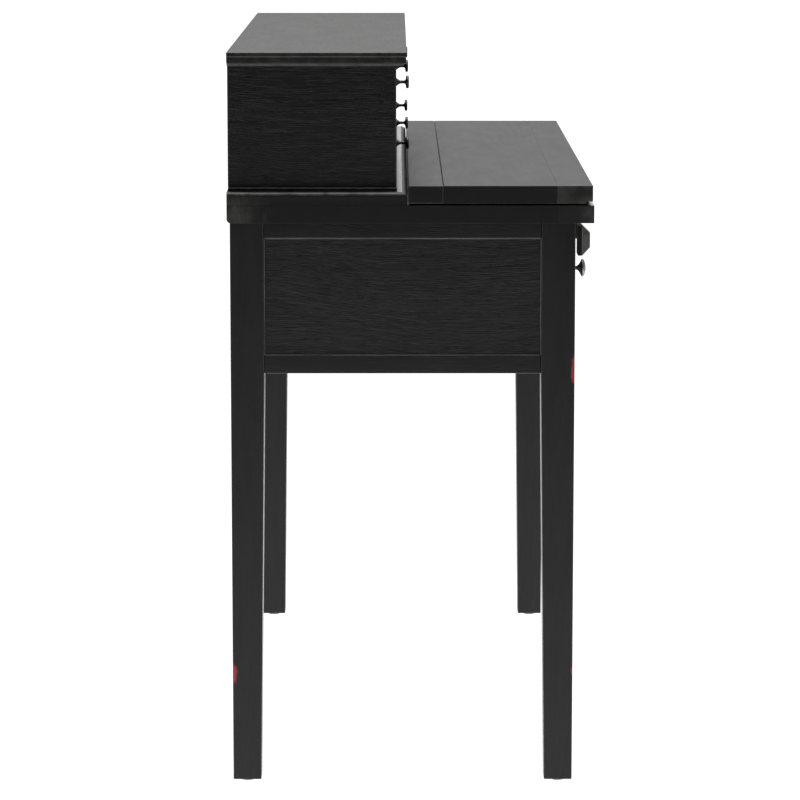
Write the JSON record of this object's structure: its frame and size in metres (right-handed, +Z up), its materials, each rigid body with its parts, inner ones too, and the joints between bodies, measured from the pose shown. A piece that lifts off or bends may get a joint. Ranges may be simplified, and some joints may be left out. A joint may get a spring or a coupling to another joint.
{
  "type": "writing desk",
  "caption": "Black-painted writing desk with a leaf that folds out onto pull-out supports, base drawers and a low hutch of small drawers.",
  "frame": {"origin": "on the floor, at the centre of the desk's overall box", "axes": "+X to the desk's right as seen by the person sitting at it, +Y to the back, +Z up; the front faces -Y"},
  "size_m": [1.067, 0.4634, 0.935],
  "materials": {
    "painted_wood": "black paint on open-grain wood, satin, lightly rubbed at the edges",
    "inner_wood": "dark stain, matt",
    "iron": "blackened, satin",
    "hinge_iron": "blackened steel",
    "glide": "dark grey plastic"
  },
  "bodies": {
    "desk": {"front_left_leg": "painted_wood", "front_right_leg": "painted_wood", "rear_left_leg": "painted_wood", "rear_right_leg": "painted_wood", "leg_glides": "glide", "side_top_rails": "painted_wood", "side_bottom_rails": "painted_wood", "left_side_panel": "painted_wood", "right_side_panel": "painted_wood", "back_rails": "painted_wood", "back_panel": "painted_wood", "front_rail": "painted_wood", "drawer_dividers": "inner_wood", "drawer_runners": "inner_wood", "loper_infills": "painted_wood", "loper_guides": "inner_wood", "corner_blocks": "inner_wood", "subtop_rear_board": "painted_wood", "subtop_centre_board": "painted_wood", "subtop_front_board": "painted_wood", "hinge_fixed_plates": "hinge_iron", "hinge_pins": "hinge_iron", "hutch_base_board": "painted_wood", "hutch_left_side": "painted_wood", "hutch_right_side": "painted_wood", "hutch_floor": "painted_wood", "hutch_shelf": "painted_wood", "hutch_dividers": "painted_wood", "hutch_back": "inner_wood", "hutch_top_moulding": "painted_wood", "hutch_top": "painted_wood"},
    "leaf": {"leaf_rear_board": "painted_wood", "leaf_centre_board": "painted_wood", "leaf_front_board": "painted_wood", "hinge_moving_plates": "hinge_iron"},
    "left_loper": {"left_loper_bar": "painted_wood", "left_loper_pull": "painted_wood"},
    "right_loper": {"right_loper_bar": "painted_wood", "right_loper_pull": "painted_wood"},
    "base_drawer_1": {"base_drawer_front_1": "painted_wood", "base_drawer_box_1": "inner_wood", "base_knob_1": "iron"},
    "base_drawer_2": {"base_drawer_front_2": "painted_wood", "base_drawer_box_2": "inner_wood", "base_knob_2": "iron"},
    "base_drawer_3": {"base_drawer_front_3": "painted_wood", "base_drawer_box_3": "inner_wood", "base_knob_3": "iron"},
    "small_drawer_1": {"hutch_drawer_1": "painted_wood", "hutch_knob_1": "iron"},
    "small_drawer_2": {"hutch_drawer_2": "painted_wood", "hutch_knob_2": "iron"},
    "small_drawer_3": {"hutch_drawer_3": "painted_wood", "hutch_knob_3": "iron"},
    "small_drawer_4": {"hutch_drawer_4": "painted_wood", "hutch_knob_4": "iron"},
    "small_drawer_5": {"hutch_drawer_5": "painted_wood", "hutch_knob_5": "iron"},
    "small_drawer_6": {"hutch_drawer_6": "painted_wood", "hutch_knob_6": "iron"}
  },
  "joints": [
    {"name": "leaf_fold", "type": "hinge", "parent": "desk", "child": "leaf", "pos_m": [0, -0.229, 0.7456], "axis": [1, 0, 0], "range_deg": [0, 180]},
    {"name": "left_loper_slide", "type": "slide", "parent": "desk", "child": "left_loper", "axis": [0, -1, 0], "range_m": [0, 0.2]},
    {"name": "right_loper_slide", "type": "slide", "parent": "desk", "child": "right_loper", "axis": [0, -1, 0], "range_m": [0, 0.2]},
    {"name": "base_drawer_1_slide", "type": "slide", "parent": "desk", "child": "base_drawer_1", "axis": [0, -1, 0], "range_m": [0, 0.25]},
    {"name": "base_drawer_2_slide", "type": "slide", "parent": "desk", "child": "base_drawer_2", "axis": [0, -1, 0], "range_m": [0, 0.25]},
    {"name": "base_drawer_3_slide", "type": "slide", "parent": "desk", "child": "base_drawer_3", "axis": [0, -1, 0], "range_m": [0, 0.25]},
    {"name": "small_drawer_1_slide", "type": "slide", "parent": "desk", "child": "small_drawer_1", "axis": [0, -1, 0], "range_m": [0, 0.12]},
    {"name": "small_drawer_2_slide", "type": "slide", "parent": "desk", "child": "small_drawer_2", "axis": [0, -1, 0], "range_m": [0, 0.12]},
    {"name": "small_drawer_3_slide", "type": "slide", "parent": "desk", "child": "small_drawer_3", "axis": [0, -1, 0], "range_m": [0, 0.12]},
    {"name": "small_drawer_4_slide", "type": "slide", "parent": "desk", "child": "small_drawer_4", "axis": [0, -1, 0], "range_m": [0, 0.12]},
    {"name": "small_drawer_5_slide", "type": "slide", "parent": "desk", "child": "small_drawer_5", "axis": [0, -1, 0], "range_m": [0, 0.12]},
    {"name": "small_drawer_6_slide", "type": "slide", "parent": "desk", "child": "small_drawer_6", "axis": [0, -1, 0], "range_m": [0, 0.12]}
  ]
}
